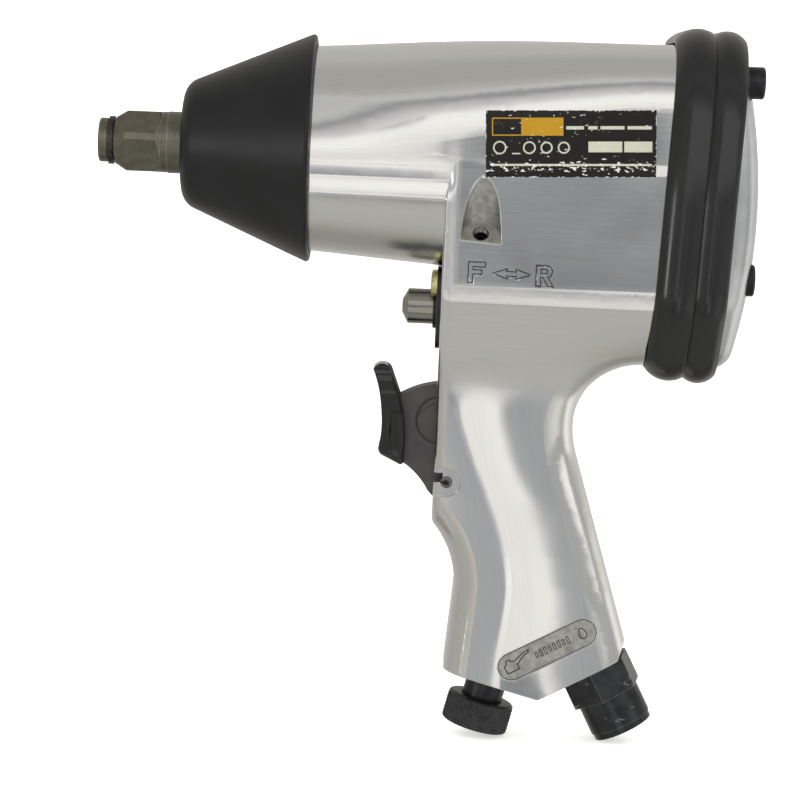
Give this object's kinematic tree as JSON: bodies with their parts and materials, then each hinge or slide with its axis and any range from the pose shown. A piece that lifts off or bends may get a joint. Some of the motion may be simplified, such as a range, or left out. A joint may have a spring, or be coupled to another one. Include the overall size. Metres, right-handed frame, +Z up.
{
  "type": "impact wrench",
  "caption": "Pistol-grip air impact wrench with half-inch square drive, polished cast housing, rubber nose boot and rear guard, rocking-dog clutch and vane motor.",
  "frame": {"origin": "centre of the square drive's end face, on the drive axis", "axes": "+X from the drive towards the rear cover, +Z up, away from the grip, +Y to the operator's left"},
  "size_m": [0.1789, 0.0746, 0.1962],
  "materials": {
    "cast_alloy": "die-cast, polished",
    "cover_alloy": "die-cast, tumbled satin",
    "boot_rubber": "moulded, matte",
    "guard_rubber": "moulded, satin",
    "seal_rubber": "moulded nitrile",
    "drive_steel": "phosphated, oiled",
    "ring_steel": "blued spring steel",
    "bearing_bronze": "sintered, oiled",
    "hardened_steel": "ground",
    "race_steel": "ground and lapped",
    "motor_iron": "honed",
    "vane_composite": "laminated, machined",
    "gasket_fibre": "pressed fibre",
    "black_oxide": "black oxide",
    "trigger_plastic": "moulded, polished by use",
    "lever_plastic": "moulded, matte",
    "pin_steel": "rolled spring steel",
    "valve_brass": "turned",
    "valve_steel": "turned and ground",
    "screw_zinc": "yellow zinc",
    "spring_wire": "drawn",
    "knob_black": "knurled, black oxide",
    "inlet_steel": "black oxide, scuffed"
  },
  "bodies": {
    "casing": {"housing": "cast_alloy", "nose_boot": "boot_rubber", "anvil_bushing": "bearing_bronze", "thrust_washer": "hardened_steel", "motor_cylinder": "motor_iron", "front_end_plate": "motor_iron", "rear_end_plate": "motor_iron", "cylinder_dowel": "hardened_steel", "front_bearing_outer_race": "race_steel", "rear_bearing_outer_race": "race_steel", "rear_gasket": "gasket_fibre", "rear_cover": "cover_alloy", "rear_guard": "guard_rubber", "cover_screws": "black_oxide", "cover_spring_washers": "black_oxide", "trigger_pin": "pin_steel", "throttle_bushing": "valve_brass", "throttle_bushing_oring": "seal_rubber", "valve_spring": "spring_wire", "reverse_bushing": "hardened_steel", "reverse_plate": "black_oxide", "reverse_plate_screws": "screw_zinc", "inlet_bushing": "inlet_steel", "inlet_seal": "seal_rubber", "inlet_screen": "valve_steel", "oil_plug": "black_oxide"},
    "rotor": {"rotor": "hardened_steel", "rotor_vanes": "vane_composite", "front_bearing_inner_race": "race_steel", "rear_bearing_inner_race": "race_steel", "hammer_cage": "hardened_steel", "hammer_pins": "hardened_steel"},
    "dog": {"hammer_dog": "hardened_steel"},
    "anvil": {"anvil": "drive_steel", "socket_ring": "ring_steel", "socket_ring_oring": "seal_rubber"},
    "front_balls": {"front_bearing_balls": "race_steel"},
    "rear_balls": {"rear_bearing_balls": "race_steel"},
    "trigger": {"trigger": "trigger_plastic", "trigger_lever": "lever_plastic"},
    "throttle": {"throttle_valve": "valve_steel", "valve_seal": "seal_rubber"},
    "reverse_valve": {"reverse_valve": "valve_steel", "reverse_valve_orings": "seal_rubber"},
    "regulator": {"regulator_knob": "knob_black", "regulator_screw": "black_oxide", "regulator_oring": "seal_rubber"}
  },
  "joints": [
    {"name": "rotor_spin", "type": "hinge", "parent": "casing", "child": "rotor", "pos_m": [0.122, 0, 0], "axis": [1, 0, 0], "continuous": true},
    {"name": "dog_rock", "type": "hinge", "parent": "rotor", "child": "dog", "pos_m": [0.0735, -0.02, 0], "axis": [1, 0, 0], "range_deg": [-6, 6]},
    {"name": "anvil_spin", "type": "hinge", "parent": "casing", "child": "anvil", "pos_m": [0.04, 0, 0], "axis": [1, 0, 0], "continuous": true},
    {"name": "front_balls_spin", "type": "hinge", "parent": "casing", "child": "front_balls", "pos_m": [0.098, 0, 0], "axis": [1, 0, 0], "continuous": true},
    {"name": "rear_balls_spin", "type": "hinge", "parent": "casing", "child": "rear_balls", "pos_m": [0.1464, 0, 0], "axis": [1, 0, 0], "continuous": true},
    {"name": "trigger_pull", "type": "hinge", "parent": "casing", "child": "trigger", "pos_m": [0.0982, 0, -0.0882], "axis": [0, 1, 0], "range_deg": [0, 13]},
    {"name": "throttle_slide", "type": "slide", "parent": "casing", "child": "throttle", "axis": [1, 0, 0], "range_m": [0, 0.00313], "stiffness_N_per_m": 1500, "springref_m": -0.004, "deforming": ["valve_spring"]},
    {"name": "reverse_slide", "type": "slide", "parent": "casing", "child": "reverse_valve", "axis": [1, 0, 0], "range_m": [0, 0.006]},
    {"name": "regulator_turn", "type": "hinge", "parent": "casing", "child": "regulator", "pos_m": [0.1123, 0, -0.14311], "axis": [-0.2419, 0, -0.9703], "range_deg": [0, 1080]}
  ],
  "couplings": [
    {"joint": "anvil_spin", "follows": "rotor_spin", "ratio": 1},
    {"joint": "front_balls_spin", "follows": "rotor_spin", "ratio": 0.381},
    {"joint": "rear_balls_spin", "follows": "rotor_spin", "ratio": 0.381},
    {"joint": "trigger_pull", "follows": "throttle_slide", "rad_per_m": 72.46}
  ]
}
